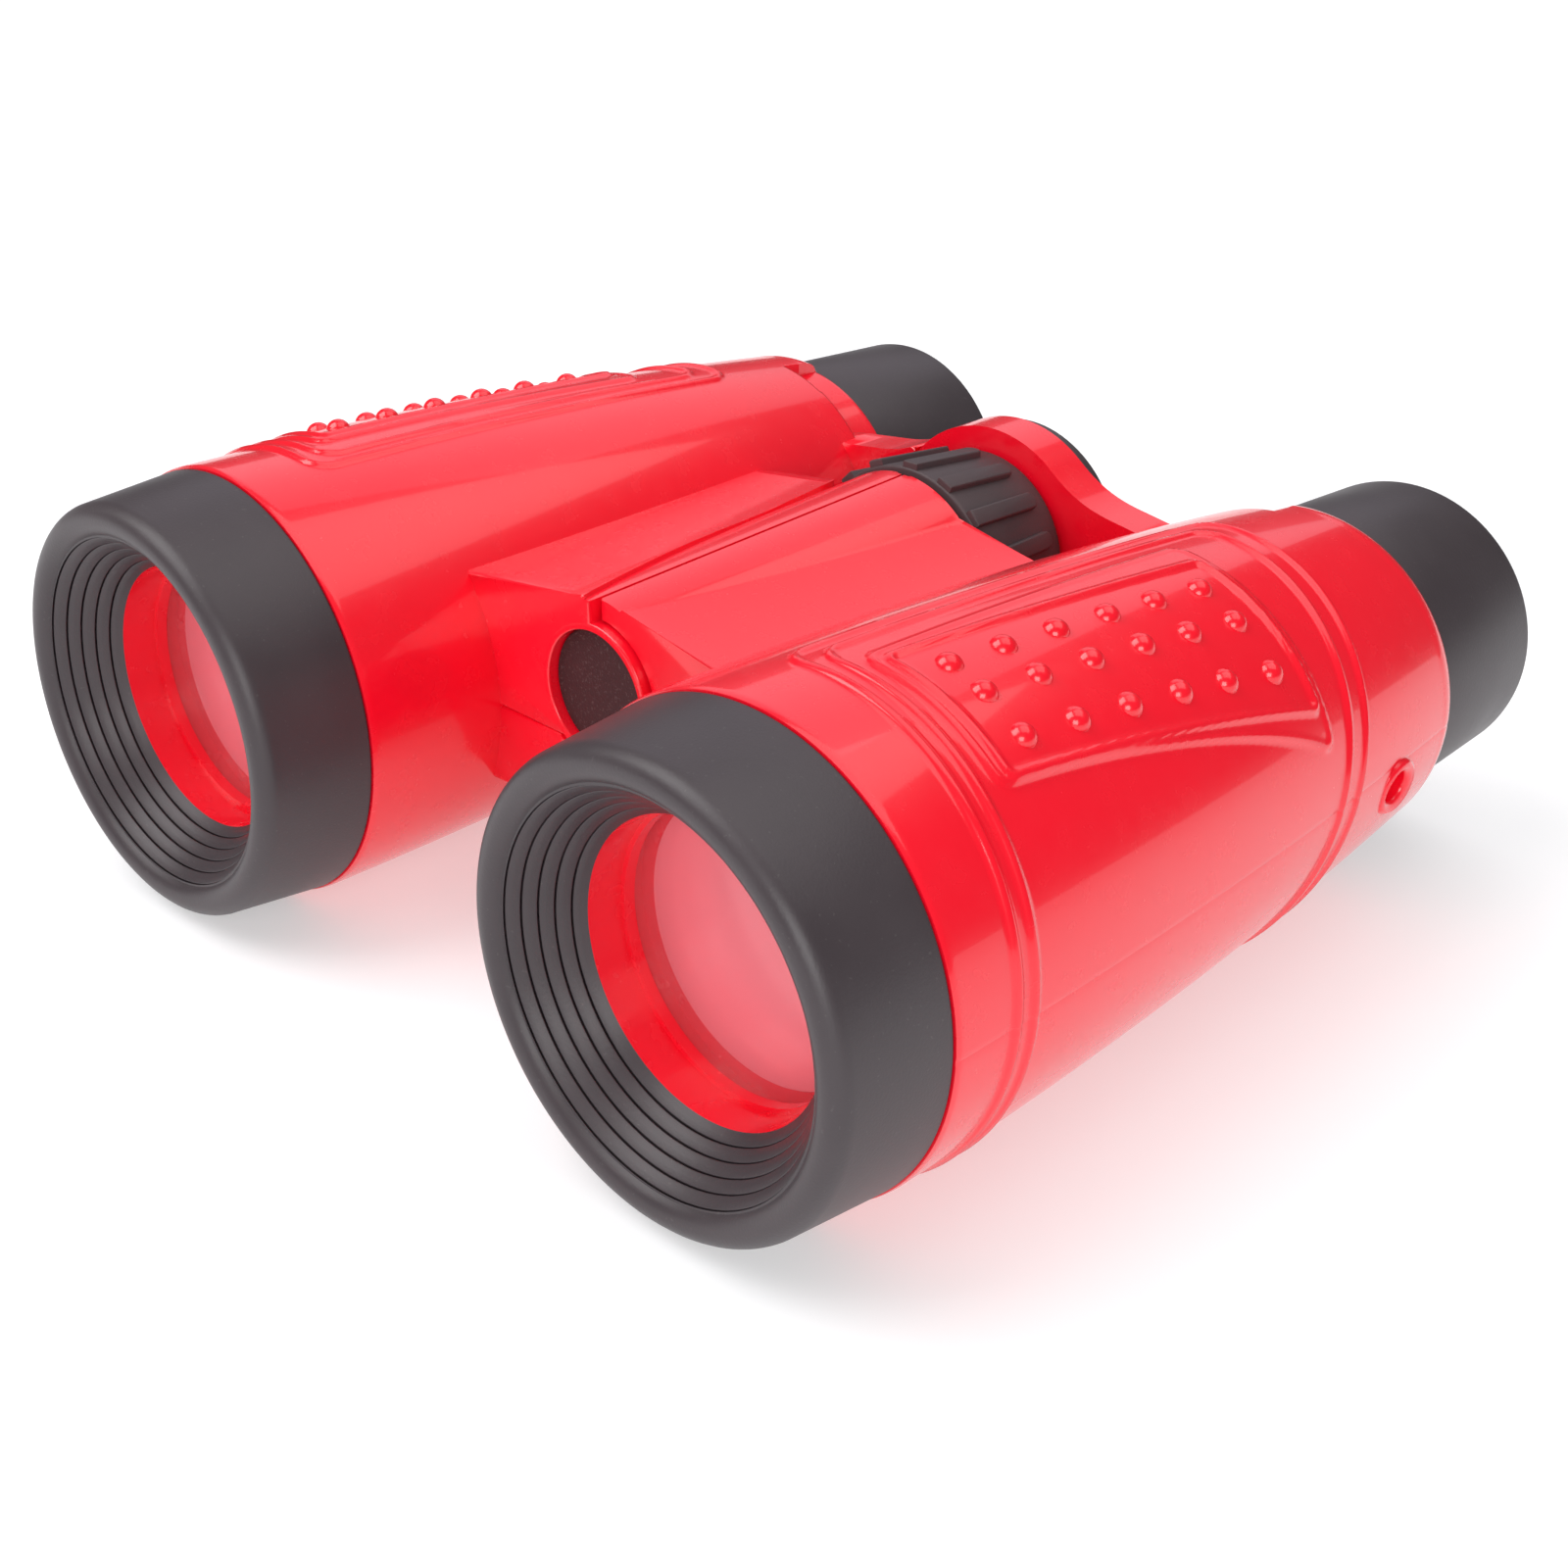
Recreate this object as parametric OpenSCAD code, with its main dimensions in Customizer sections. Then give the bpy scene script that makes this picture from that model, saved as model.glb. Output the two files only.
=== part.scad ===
// Toy folding binoculars in moulded plastic.
// Y runs along the barrels, from the objectives to the eyepieces. X runs across them and Z is up.
// The origin lies under the middle of the object, on the plane that the barrels rest on.
// Places inside the modules are measured from the point midway between the two barrel axes,
// at the joint between the casing and the objective rings.

/* [Barrels] */
// Gap between the two casings at their front edges
barrel_gap = 29; // [28:0.5:33]
// Largest radius of the casing, at its front edge
barrel_r = 23.25; // [22:0.05:26]
// Length of the casing, from the objective ring to the eyepiece cup
casing_len = 85.2; // [78:0.1:100]
// Radius of the long arc that the casing's side follows
bulge_r = 770; // [700:10:1000]
// Length of the rounding at the casing's rear edge
rear_round = 3; // [2.4:0.1:3.6]
// Inward step of that rounding
rear_step = 1.75; // [1.4:0.05:2]
// Wall thickness of the casing
wall = 1.6; // [1.4:0.05:1.8]

/* [Objectives] */
// Length of the objective ring ahead of the casing
ring_len = 12.1; // [11:0.1:14]
// Step from the casing in to the objective ring
ring_step = 0.25; // [0.1:0.05:0.5]
// Taper of the objective ring from its rear edge to its rounded lip
ring_taper = 0.9; // [0.6:0.05:1.2]
// Wall of the objective ring around the casing's spigot
ring_wall = 2.6; // [2.2:0.05:3]
// Width of the rounded lip, from the outside to the start of the mouth
lip_w = 3.6; // [3.2:0.05:4]
// Height of the rounded lip along the barrel
lip_h = 1.9; // [1.6:0.05:2.1]
// Width of the ribbed mouth, from the lip to the aperture
mouth_w = 4.35; // [4:0.05:4.8]
// Depth of the aperture behind the lip
mouth_depth = 6.8; // [6:0.1:7.6]
// Number of grooves in the mouth
mouth_grooves = 5; // [4:1:7]
// Depth of each groove in the mouth
groove_depth = 0.35; // [0.2:0.05:0.45]
// Depth of the red collar between the mouth and the lens flange
collar_depth = 3.8; // [3.5:0.1:4]
// Width of the red flange in front of the lens
flange_w = 0.5; // [0.4:0.05:0.8]
// Thickness of the lens flange and of the rib behind the lens
flange_t = 1.2; // [1:0.1:1.4]
// Reach of the objective lens behind the collar
lens_reach = 1.05; // [0.8:0.05:1.3]
// Edge thickness of the objective lens
objective_lens_t = 2.2; // [2:0.1:2.6]
// Height of the front dome of the objective lens
objective_dome = 1; // [0.6:0.1:1.1]

/* [Eyepieces] */
// Length of the eyepiece cup behind the casing
eyecup_len = 20.8; // [18:0.1:25]
// Step from the casing's rear edge in to the eyepiece cup
eyecup_step = 0.2; // [0.1:0.05:0.4]
// Taper of the eyepiece cup from the casing to its rear rim
eyecup_taper = 0.8; // [0.4:0.05:1.2]
// Rounding of the rear rim
eyecup_lip = 0.8; // [0.5:0.05:1]
// Wall of the eyepiece cup at its rear rim
eyecup_wall = 1.9; // [1.6:0.05:2.2]
// Depth of the hollow that the eye looks into
eyecup_depth = 9; // [8:0.1:10]
// Narrowing of the hollow from the rear rim to its floor
eyecup_narrow = 2.2; // [1.6:0.1:2.8]
// Radius of the eye lens
eye_lens_r = 7.5; // [7:0.05:8]
// Width of the ledge that the eye lens rests on
eye_ledge = 1; // [0.8:0.05:1.3]
// Edge thickness of the eye lens
eye_lens_t = 2.6; // [2.4:0.1:2.8]
// Depth of the hollow in each face of the eye lens
eye_lens_dish = 0.7; // [0.5:0.05:0.8]
// Wall of the casing around the cup's spigot
socket_wall = 1.75; // [1.5:0.05:2]
// Length of the cup's spigot inside the casing
eye_spigot_len = 7; // [6:0.1:8]

/* [Grip trim] */
// Height of the raised lines and of the stud rails
trim_h = 0.35; // [0.25:0.05:0.5]
// Width of the raised lines
trim_w = 1; // [0.8:0.05:1.3]
// Place of the front line along the barrel
front_line_y = 8; // [7:0.1:9]
// Distance of the last leaning line from the casing's rear edge, level with the barrel axis
rear_line_back = 22.6; // [21:0.1:24]
// Distance between the two leaning lines
rear_line_pitch = 3.4; // [3:0.1:4]
// Lean of the rear lines
rear_line_lean = 16; // [10:1:18]
// Angle round the barrel of the lengthwise line on the inner side
inner_line_angle = 102; // [99:0.5:105]
// Angle round the barrel where the lines end underneath
lower_line_angle = -55; // [-62:1:-45]
// Front end of the stud panel
panel_y0 = 13.6; // [13:0.1:15]
// Distance of the stud panel's rear end from the casing's rear edge
panel_back = 29.2; // [28:0.1:31]
// Share of the barrel radius from its axis to the panel's inner rail at the front, and its drift to the rear
panel_inner = [0.077, 0.095];
// Share of the barrel radius from its axis to the panel's outer rail at the front, and its drift to the rear
panel_outer = [0.662, 0.129];
// Number of studs in each row
stud_count = 6; // [4:1:8]
// Number of rows of studs
stud_rows = 3; // [2:1:4]
// Radius of the studs
stud_r = 1.35; // [1.1:0.05:1.6]
// Height of the studs
stud_h = 0.9; // [0.6:0.05:1.1]

/* [Bridge and hinge] */
// Height of the hinge axis above the barrel axes
hinge_z = 6; // [5.5:0.1:6.5]
// Front face of the bridge behind the objective rings
bridge_y0 = 17.2; // [15:0.1:20]
// Lead of the left half's front face ahead of the right half's
left_lead = 1; // [0.6:0.1:1.2]
// Radius of the hinge tube at the front
tube_r0 = 10; // [9.9:0.05:10.5]
// Growth of the hinge tube's radius from front to rear
tube_growth = 2.2; // [1.6:0.1:2.6]
// Wall thickness of the hinge tube
tube_wall = 1.4; // [1.2:0.05:1.5]
// Height of the bridge's top over the hinge axis at the seam
web_rise = 9.9; // [9.6:0.05:10]
// Slope of the bridge's top down towards the barrels
web_slope = 7.8; // [6:0.2:9]
// Depth of the bridge's underside below the barrel axes
web_drop = 9; // [8:0.1:10]
// Angle below the horizontal where each half's tube ends underneath
tube_end_angle = 55; // [52:1:56]
// Seam between the two halves on top of the hinge tube
seam_gap = 0.4; // [0.3:0.05:0.6]
// Share of the tube's radius that the open strip beside the seam takes, at the front and at the rear
strip_share = [0.1, 0.84];
// Radius of the hinge bolt
bolt_r = 2; // [1.8:0.05:2.2]
// Gap between the hinge tube's sleeve and the knuckles inside it
knuckle_gap = 0.6; // [0.4:0.05:0.9]
// Thickness of the front plug
plug_t = 1.5; // [1.3:0.1:1.8]
// Depth of the front plug's face behind the hinge rim
plug_sink = 1.1; // [0.8:0.1:1.2]
// Wall of the hinge rim around the front plug
rim_wall = 0.9; // [0.8:0.05:1]
// Gap between faces that turn past each other
turn_gap = 0.35; // [0.25:0.05:0.45]
// Radial clearance of shafts, spigots and pressed pieces
fit = 0.05; // [0.03:0.01:0.08]

/* [Focus wheel and rear arch] */
// Width of the focus wheel along its axis
wheel_w = 14; // [12:0.1:16]
// Step from the hinge tube out to the focus wheel
wheel_step = 0.5; // [0.3:0.05:0.8]
// Taper of the focus wheel from front to rear
wheel_taper = 1.3; // [1:0.05:1.6]
// Number of ribs on the focus wheel
wheel_ribs = 16; // [12:1:20]
// Height of the ribs
rib_h = 0.7; // [0.4:0.05:0.8]
// Width of the ribs
rib_w = 2.5; // [2:0.1:2.8]
// Bare width of the wheel behind the ribs
rib_back = 2.5; // [2:0.1:3]
// Step from the focus wheel out to the rear arch
arch_step = 1.3; // [1:0.05:1.5]
// Thickness of the rear arch along the hinge axis
arch_t = 5.3; // [5:0.1:6]
// Distance of the rear arch from the casing's rear edge
arch_back = 3.25; // [3:0.05:4]
// Step from the rear arch in to its black cap
cap_step = 0.6; // [0.4:0.05:1]
// Thickness of the rear cap
cap_t = 2.4; // [2.2:0.1:2.8]
// Depth of the notch beside each eyepiece cup on the barrel's inner side
notch_len = 5.8; // [5:0.1:6.5]
// Angle round the barrel where that notch starts
notch_angle = 97; // [94:1:104]

/* [Fasteners and strap holes] */
// Distance of the shell screws from the hinge tube
screw_out = 1; // [0.9:0.05:1.1]
// Distance of the shell screws from the bridge's front and rear faces
screw_in = 7.7; // [6:0.1:9]
// Radius of the screw shank
screw_r = 1.15; // [1:0.05:1.2]
// Radius of the screw head
screw_head_r = 1.95; // [1.8:0.05:2]
// Height of the screw head
screw_head_h = 1.4; // [1.2:0.1:1.6]
// Length of the screw shank
screw_len = 13; // [11:0.5:14]
// Wall of the screw bosses around the screw heads
boss_wall = 0.6; // [0.5:0.05:0.7]
// Radius of the neck strap holes
strap_r = 1.7; // [1.4:0.05:1.8]
// Distance of the strap holes from the casing's rear edge
strap_back = 12.9; // [12.6:0.1:13.5]
// Angle of the strap holes below the horizontal
strap_angle = 8; // [7.5:0.5:12]
// Depth of the strap holes, with their inner boss
strap_depth = 4; // [3:0.1:4.2]

/* [Hidden] */

$fn = 96;
red = "crimson";
black = "dimgray";
clear = "mistyrose";
steel = "silver";
eps = 0.01;
far = 80;
arc_steps = 16;

barrel_x = barrel_r + barrel_gap / 2;
mid_y = (casing_len + eyecup_len - ring_len) / 2;

// Radii around the barrel axis
ring_rear_r = barrel_r - ring_step;
ring_front_r = ring_rear_r - ring_taper;
mouth_r = ring_front_r - lip_w;
aperture_r = mouth_r - mouth_w;
spigot_r = ring_rear_r - ring_wall;
spigot_core_r = spigot_r - wall;
flange_r = aperture_r - flange_w;
objective_lens_r = aperture_r + lens_reach;
seat_core_r = objective_lens_r + fit + wall;
round_y = casing_len - rear_round;
casing_rear_r = casing_r(round_y) - rear_step;
notch_r = casing_rear_r + eyecup_step;
eyecup_front_r = casing_rear_r - eyecup_step;
eyecup_rear_r = eyecup_front_r - eyecup_taper;
eyecup_mouth_r = eyecup_rear_r - eyecup_wall;
eyecup_floor_r = eyecup_mouth_r - eyecup_narrow;
eye_hole_r = eye_lens_r - eye_ledge;
eye_spigot_r = casing_rear_r - socket_wall;
stop_r = eye_spigot_r - wall;

// Stations along the barrel
aperture_y = mouth_depth - ring_len;
flange_y = aperture_y + collar_depth;
lens_y = flange_y + flange_t;
lens_end_y = lens_y + objective_lens_t + 2 * fit;
rib_end_y = lens_end_y + flange_t;
socket_y = casing_len - eye_spigot_len - fit;
stop_y = socket_y - wall;
cup_end_y = casing_len + eyecup_len;
cup_floor_y = cup_end_y - eyecup_depth;
eye_lens_y1 = cup_floor_y - flange_t;
eye_lens_y0 = eye_lens_y1 - eye_lens_t;
panel_y1 = casing_len - panel_back;
rear_line_y = casing_len - rear_line_back - rear_line_pitch;
strap_y = casing_len - strap_back;
notch_y = casing_len - notch_len;

// Stations along the hinge, from the rear arch forwards
arch_end_y = casing_len - arch_back;
arch_y = arch_end_y - arch_t;
wheel_y = arch_y - turn_gap - wheel_w;
bridge_y1 = wheel_y - 2 * turn_gap;
left_y0 = bridge_y0 - left_lead;
plug_y = left_y0 + plug_sink;
head_y = plug_y + plug_t;
rim_end_y = bridge_y0 + wall - turn_gap;
knuckle_span = (bridge_y1 - rim_end_y - 2 * turn_gap) / 3.5;
front_knuckle_end = rim_end_y + knuckle_span;
mid_knuckle_y = front_knuckle_end + turn_gap;
mid_knuckle_end = mid_knuckle_y + knuckle_span;
rear_knuckle_y = mid_knuckle_end + turn_gap;
screw_y = [bridge_y0 + screw_in, bridge_y1 - screw_in];

// Sizes around the hinge axis
tube_r1 = tube_r0 + tube_growth;
sleeve_gap = 0.3;
sleeve_t = 1.2;
sleeve_y0 = bridge_y0 + wall + turn_gap;
sleeve_y1 = bridge_y1 - wall - turn_gap;
sleeve_angle = 20;
sleeve_root_angle = 110;
knuckle_r = tube_r0 - tube_wall - sleeve_gap - sleeve_t - knuckle_gap;
rim_r = tube_r0 - tube_wall - 3 * turn_gap + fit;
plug_r = rim_r - rim_wall - fit;
wheel_front_r = tube_r1 + wheel_step;
wheel_rear_r = wheel_front_r - wheel_taper;
rib_len = wheel_w - rib_back;
arch_r = wheel_front_r + arch_step;
cap_r = arch_r - cap_step;
screw_x = tube_r1 + screw_out;
boss_r = screw_head_r + fit + boss_wall;
web_top = hinge_z + web_rise;
web_side = web_top - barrel_x * tan(web_slope);

// Bolt, washer, nut and the hollow of the cap over them
bolt_head_r = bolt_r * 1.8;
bolt_head_h = bolt_r * 1.2;
washer_t = 0.6;
washer_r = bolt_r * 2.2;
nut_r = bolt_r * 2.02;
nut_h = bolt_r * 1.3;
washer_y = arch_y + arch_t / 2 + fit;
nut_y = washer_y + washer_t;
bolt_end_y = nut_y + nut_h + washer_t;
cap_wall = 0.8;
cap_bore_r = washer_r + turn_gap;
cap_spigot_r = cap_bore_r + cap_wall;
cap_floor = bolt_end_y + washer_t - arch_end_y;

// Radius of the casing at a place along the barrel
function casing_r(y) = barrel_r - (bulge_r - sqrt(bulge_r * bulge_r - y * y));

// Radius of the hinge tube at a place along the hinge
function tube_r(y) = tube_r0 + (tube_r1 - tube_r0) * (y - bridge_y0) / (bridge_y1 - bridge_y0);

// Height of the bridge's top at a distance from the seam
function web_z(x) = web_top - x * tan(web_slope);

// Outline of the casing's outside, from front to rear, set out by a distance
function casing_outline(out) = concat(
    [for (i = [0 : arc_steps]) let (y = round_y * i / arc_steps) [casing_r(y) + out, y]],
    [for (t = [15 : 15 : 90])
        [casing_rear_r + (casing_r(round_y) - casing_rear_r) * cos(t) + out, round_y + rear_round * sin(t)]]
);

// Outline of the casing's plain inside, from front to rear
function inner_outline() = [
    for (i = [0 : arc_steps])
        let (y = rib_end_y + (stop_y - rib_end_y) * i / arc_steps)
        [casing_r(max(y, 0)) - wall, y]
];

// Points of an arc on a lens face, from the axis to the rim, with a given rise in the middle
function lens_face(r, y, rise) = [for (i = [0 : 8]) let (x = r * i / 8) [x, y + rise * (1 - i * i / 64)]];

// Move from the construction point to the object's origin
module placed() { translate([0, -mid_y, barrel_r]) children(); }

// Turn a Z axis onto the Y axis
module along_y() { rotate([-90, 0, 0]) children(); }

// Revolve an outline of radius and place along the barrel
module revolve(points) { along_y() rotate_extrude() polygon(points); }

// Choose the right barrel with 1 and the left with -1
module on_side(side) { if (side > 0) children(); else mirror([1, 0, 0]) children(); }

// Move to the barrel axis
module on_barrel() { translate([barrel_x, 0, 0]) children(); }

// Prism along Y of a shape drawn in X and Z
module prism(y0, y1) {
    translate([0, y1, 0]) rotate([90, 0, 0]) linear_extrude(height = y1 - y0) children();
}

// Cylinder or cone along the hinge axis
module on_hinge(y0, y1, r0, r1) {
    translate([0, y0, hinge_z]) along_y() cylinder(h = y1 - y0, r1 = r0, r2 = r1);
}

// Flat sector between two angles, for cutting around an axis
module sector(a0, a1) {
    polygon(concat([[0, 0]], [for (i = [0 : 4]) let (a = a0 + (a1 - a0) * i / 4) far * [cos(a), sin(a)]]));
}

// Hollow inside of one barrel, with its lens pocket and its eyepiece socket
module barrel_hollow() {
    revolve(concat(
        [[0, aperture_y - 1], [aperture_r, aperture_y - 1], [aperture_r, flange_y], [flange_r, flange_y],
         [flange_r, lens_y], [objective_lens_r + fit, lens_y], [objective_lens_r + fit, lens_end_y],
         [flange_r, lens_end_y], [flange_r, rib_end_y]],
        inner_outline(),
        [[stop_r, stop_y], [stop_r, socket_y], [eye_spigot_r + fit, socket_y],
         [eye_spigot_r + fit, casing_len + 1], [0, casing_len + 1]]
    ));
    revolve([[seat_core_r, flange_y], [spigot_core_r, flange_y],
             [spigot_core_r, rib_end_y + eps], [seat_core_r, rib_end_y + eps]]);
}

// Solid outside of one barrel, notched beside the eyepiece cup on its inner side
module barrel_solid() {
    difference() {
        revolve(concat(
            [[0, aperture_y], [spigot_r, aperture_y], [spigot_r, 0]],
            casing_outline(0),
            [[0, casing_len]]
        ));
        intersection() {
            prism(notch_y, casing_len + 1) sector(notch_angle, notch_angle + 100);
            revolve([[notch_r, notch_y], [barrel_r, notch_y], [barrel_r, casing_len + 1],
                     [notch_r, casing_len + 1]]);
        }
    }
}

// Skin that stands proud of the casing, for the raised lines to be cut from
module trim_skin() {
    difference() {
        revolve(concat([[barrel_r - wall, 0]], casing_outline(trim_h), [[casing_rear_r - wall, casing_len]]));
        revolve(concat([[0, -1], [casing_r(0) - wall, -1]],
            [for (i = [0 : arc_steps]) let (y = round_y * i / arc_steps) [casing_r(y) - wall, y]],
            [[casing_r(round_y) - wall, casing_len + 1], [0, casing_len + 1]]));
    }
}

// Raised lines round the grip: one in front, two leaning ones behind and one lengthwise
module grip_lines() {
    line_angle = 2 * asin(trim_w / 2 / barrel_r);
    rear_reach = rear_line_y + rear_line_pitch + tan(rear_line_lean) * casing_r(rear_line_y);
    intersection() {
        trim_skin();
        union() {
            intersection() {
                prism(0, casing_len) sector(lower_line_angle, inner_line_angle);
                union() {
                    translate([-far, front_line_y - trim_w / 2, -far]) cube([2 * far, trim_w, 2 * far]);
                    for (i = [0 : 1])
                        translate([0, rear_line_y + i * rear_line_pitch, 0]) rotate([-rear_line_lean, 0, 0])
                            translate([-far, -trim_w / 2, -far]) cube([2 * far, trim_w, 2 * far]);
                }
            }
            prism(front_line_y, rear_reach) sector(inner_line_angle - line_angle, inner_line_angle);
        }
    }
}

// Place of a panel rail from the barrel axis, at a share of the panel's length
function rail_x(rail, share) = barrel_r * (rail[0] + rail[1] * share);

// Rails round the stud panel, cut from the raised skin
module panel_rails() {
    intersection() {
        trim_skin();
        linear_extrude(height = far) difference() {
            polygon([[rail_x(panel_inner, 0), panel_y0], [rail_x(panel_outer, 0), panel_y0],
                     [rail_x(panel_outer, 1), panel_y1], [rail_x(panel_inner, 1), panel_y1]]);
            polygon([[rail_x(panel_inner, 0) + trim_w, panel_y0 + trim_w],
                     [rail_x(panel_outer, 0) - trim_w, panel_y0 + trim_w],
                     [rail_x(panel_outer, 1) - trim_w, panel_y1 - trim_w],
                     [rail_x(panel_inner, 1) + trim_w, panel_y1 - trim_w]]);
        }
    }
}

// Rows of domed studs inside the panel rails
module studs() {
    sphere_r = (stud_r * stud_r + stud_h * stud_h) / (2 * stud_h);
    for (row = [1 : stud_rows], i = [1 : stud_count]) {
        share = (i - 0.4) / (stud_count + 0.2);
        across = row / (stud_rows + 0.7);
        y = panel_y0 + (panel_y1 - panel_y0) * share;
        x = rail_x(panel_inner, share) + (rail_x(panel_outer, share) - rail_x(panel_inner, share)) * across;
        angle = acos(x / casing_r(y));
        sink = casing_r(y) + stud_h - sphere_r;
        translate([sink * cos(angle), y, sink * sin(angle)]) sphere(r = sphere_r, $fn = 32);
    }
}

// Shape of the bridge on the right, drawn in X and Z from the seam to inside the barrel
module bridge_shape(skin) {
    floor_x = (hinge_z + web_drop - skin) / tan(tube_end_angle);
    edge_shift = skin / sin(tube_end_angle);
    polygon([
        [seam_gap / 2, web_top - skin], [barrel_x, web_side - skin],
        [barrel_x, skin - web_drop], [floor_x + edge_shift, skin - web_drop],
        [seam_gap / 2 + edge_shift, hinge_z], [seam_gap / 2, hinge_z]
    ]);
}

// Shell of the bridge on the right, with end walls, before its knuckles are added
module bridge_shell(y0, hole_r, strip) {
    difference() {
        union() {
            difference() {
                prism(y0, bridge_y1) bridge_shape(0);
                if (strip)
                    translate([0, 0, hinge_z + bolt_r]) linear_extrude(height = far)
                        polygon([[0, y0 - 1], [strip_share[0] * tube_r0, y0],
                                 [strip_share[1] * tube_r1, bridge_y1], [0, bridge_y1 + 1]]);
            }
            intersection() {
                on_hinge(y0, bridge_y1, tube_r(y0), tube_r1);
                prism(y0, bridge_y1) hinge_half_shape();
            }
        }
        difference() {
            prism(y0 + wall, bridge_y1 - wall) bridge_shape(wall);
            on_hinge(y0, bridge_y1, tube_r(y0), tube_r1);
        }
        on_hinge(y0 + wall, bridge_y1 - wall,
            tube_r(y0 + wall) - tube_wall, tube_r(bridge_y1 - wall) - tube_wall);
        on_hinge(y0 - 1, bridge_y1 + 1, hole_r, hole_r);
    }
}

// Part of the hinge's round that belongs to the right half, drawn in X and Z
module hinge_half_shape() {
    polygon([
        [seam_gap / 2, hinge_z], far * [cos(tube_end_angle), -sin(tube_end_angle)] + [0, hinge_z],
        [far, far], [seam_gap / 2, far]
    ]);
}

// Screw bosses between the bridge's top and underside
module screw_bosses() {
    top = web_z(screw_x) - wall / 2;
    for (y = screw_y) translate([screw_x, y, -web_drop]) cylinder(r = boss_r, h = web_drop + top);
}

// Holes for the screws: a sunk head below and a blind hole above
module screw_holes() {
    for (y = screw_y) translate([screw_x, y, -web_drop]) {
        translate([0, 0, -eps]) cylinder(r = screw_head_r + fit, h = screw_head_h + wall / 2 + eps);
        cylinder(r = screw_r + fit, h = screw_len + screw_head_h + wall);
    }
}

// Knuckle around the hinge bolt, with a rib that ends inside the wall of the right half's tube
module knuckle(y0, y1) {
    on_hinge(y0, y1, knuckle_r, knuckle_r);
    intersection() {
        translate([0, y0, hinge_z - knuckle_r / 2]) cube([far, y1 - y0, knuckle_r * 0.62]);
        on_hinge(y0, y1, tube_r(y0) - tube_wall / 2, tube_r(y1) - tube_wall / 2);
    }
}

// Rear arch of the right half, around the hinge axis and down to the barrel
module rear_arch() {
    on_hinge(arch_y, arch_end_y, arch_r, arch_r);
    prism(arch_y, arch_end_y) rear_web_shape();
}

// Shape of the rear web beside the arch, drawn in X and Z: it leaves the arch in a hollow curve
module rear_web_shape() {
    polygon([
        [0, hinge_z], arch_r * [cos(52), sin(52)] + [0, hinge_z],
        [0.77 * arch_r, web_z(0.77 * arch_r) + 0.95],
        [0.89 * arch_r, web_z(0.89 * arch_r) + 0.5], [1.05 * arch_r, web_z(1.05 * arch_r) + 0.15],
        [1.25 * arch_r, web_z(1.25 * arch_r)], [barrel_x, web_side],
        [barrel_x, -web_drop / 1.5], [arch_r * 0.6, -web_drop / 1.5]
    ]);
}

// Boss inside the casing around a strap hole
module strap_boss(r, inset, out) {
    rim = casing_r(strap_y);
    translate([0, strap_y, 0]) rotate([0, 90 + strap_angle, 0])
        translate([0, 0, rim - inset]) cylinder(r = r, h = inset + out);
}

// Thin tube of the left half under the right half's edge, with a tie to the left half's own tube
module hinge_sleeve() {
    hinge_arc(sleeve_y0, sleeve_y1, sleeve_gap, sleeve_gap + sleeve_t, sleeve_angle, sleeve_root_angle);
    hinge_arc(sleeve_y0 + wall, sleeve_y1 - wall, -tube_wall / 2, sleeve_gap + sleeve_t / 2,
        sleeve_root_angle - 12, sleeve_root_angle - 2);
}

// Length of tube wall between two depths under the hinge tube's inside, and between two angles
module hinge_arc(y0, y1, d0, d1, a0, a1) {
    r0 = tube_r(y0) - tube_wall;
    r1 = tube_r(y1) - tube_wall;
    intersection() {
        difference() {
            on_hinge(y0, y1, r0 - d0, r1 - d0);
            on_hinge(y0 - eps, y1 + eps, r0 - d1, r1 - d1);
        }
        prism(y0 - 1, y1 + 1) translate([0, hinge_z]) sector(a0, a1);
    }
}

// Half of the casing on the right: barrel, bridge and raised trim, with no hinge parts yet
module half_casing(y0, hole_r, strip) {
    difference() {
        union() {
            on_barrel() {
                barrel_solid();
                grip_lines();
                panel_rails();
                studs();
            }
            bridge_shell(y0, hole_r, strip);
            intersection() {
                screw_bosses();
                prism(y0, bridge_y1) bridge_shape(0);
            }
            children();
        }
        on_barrel() difference() {
            barrel_hollow();
            strap_boss(2 * strap_r, strap_depth, 1);
        }
        on_barrel() strap_boss(strap_r, strap_depth + 1, 1);
        screw_holes();
    }
}

// Casing of the right half with its rear arch
module right_casing() { half_casing(bridge_y0, rim_r + turn_gap, false) rear_arch(); }

// Casing of the left half with the ledge that faces the rear arch
module left_casing() {
    mirror([1, 0, 0]) half_casing(left_y0, rim_r + turn_gap, true) difference() {
        prism(arch_y, arch_end_y) rear_web_shape();
        on_hinge(arch_y - 1, arch_end_y + 1, arch_r + turn_gap, arch_r + turn_gap);
    }
}

// Half space above or below the plane that parts the shells
module parted(above) { translate([-far, -far, above ? 0 : -2 * far]) cube([2 * far, 4 * far, 2 * far]); }

// Upper shell of the right half, with the middle hinge knuckle and the seat for the nut
module right_upper_shell() {
    color(red) placed() difference() {
        union() {
            intersection() { right_casing(); parted(true); }
            knuckle(mid_knuckle_y, mid_knuckle_end);
        }
        on_hinge(bridge_y0, arch_end_y + 1, bolt_r + fit, bolt_r + fit);
        on_hinge(washer_y - fit, arch_end_y + 1, cap_spigot_r + fit, cap_spigot_r + fit);
    }
}

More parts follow.
